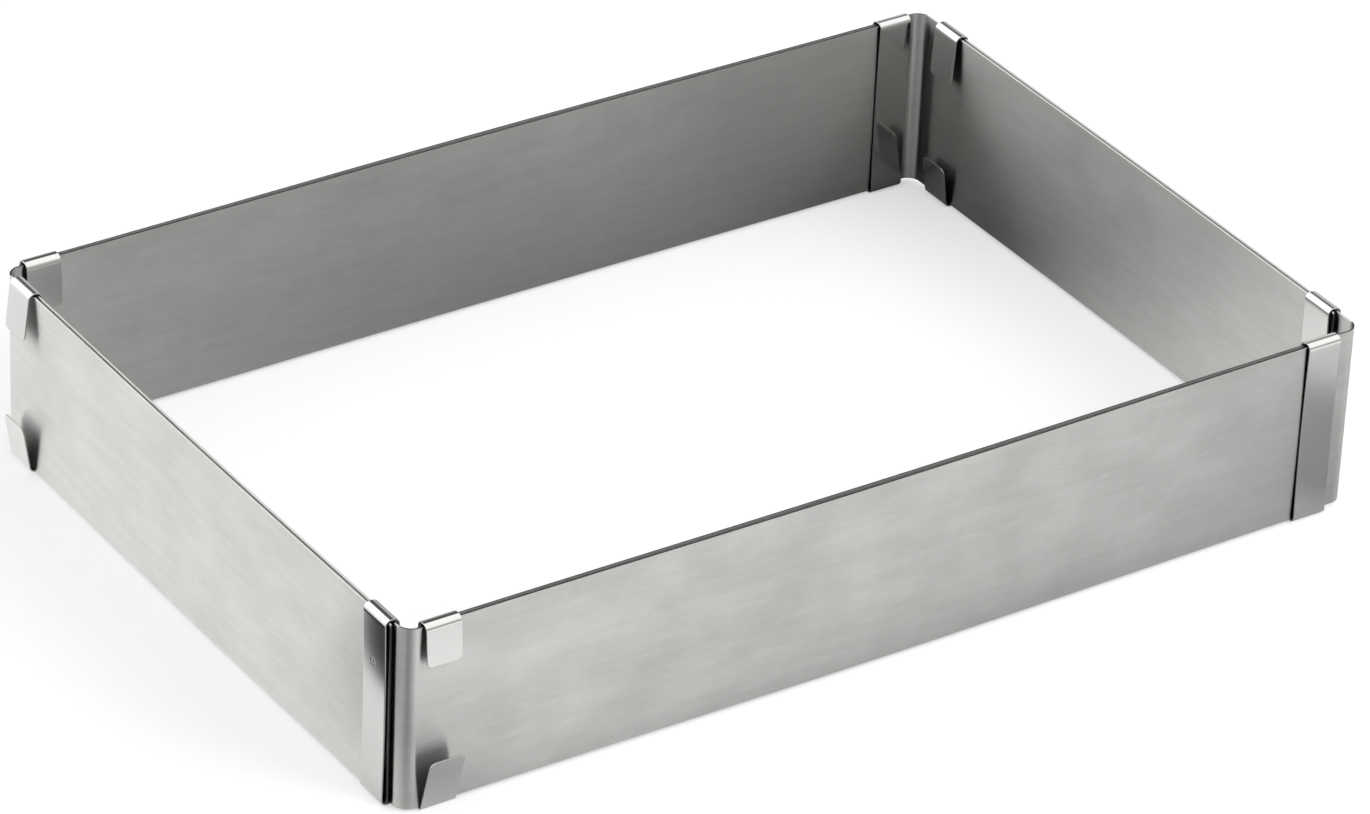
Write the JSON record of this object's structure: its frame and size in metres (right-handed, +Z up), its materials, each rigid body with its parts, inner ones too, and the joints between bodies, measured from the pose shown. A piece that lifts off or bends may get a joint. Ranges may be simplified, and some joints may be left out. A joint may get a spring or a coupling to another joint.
{
  "type": "adjustable cake frame",
  "caption": "Rectangular cake frame without a floor. Bent steel corner sheets overlap along each wall and slide in spring clips, so the frame opens wider and longer.",
  "frame": {"origin": "middle of the closed frame, on the surface that the clips' bottom rolls stand on", "axes": "+X along the long walls, +Y along the short walls away from the front wall, +Z up"},
  "size_m": [0.2844, 0.1994, 0.0514],
  "materials": {
    "sheet": "fine brushed grain along the wall, soft reflections",
    "clip": "bright rolled spring steel, near mirror"
  },
  "bodies": {
    "front_left_corner": {"corner_sheet_front_left": "sheet", "clip_front_wall_right_end": "clip", "clip_left_wall_back_end": "clip"},
    "front_right_corner": {"corner_sheet_front_right": "sheet", "clip_right_wall_back_end": "clip", "clip_front_wall_left_end": "clip"},
    "back_right_corner": {"corner_sheet_back_right": "sheet", "clip_back_wall_left_end": "clip", "clip_right_wall_front_end": "clip"},
    "back_left_corner": {"corner_sheet_back_left": "sheet", "clip_left_wall_front_end": "clip", "clip_back_wall_right_end": "clip"}
  },
  "joints": [
    {"name": "length", "type": "slide", "parent": "front_left_corner", "child": "front_right_corner", "axis": [1, 0, 0], "range_m": [0, 0.2444]},
    {"name": "width", "type": "slide", "parent": "front_left_corner", "child": "back_left_corner", "axis": [0, 1, 0], "range_m": [0, 0.1509]},
    {"name": "back_width", "type": "slide", "parent": "front_right_corner", "child": "back_right_corner", "axis": [0, 1, 0], "range_m": [0, 0.1509]}
  ],
  "couplings": [
    {"joint": "back_width", "follows": "width", "ratio": 1}
  ]
}
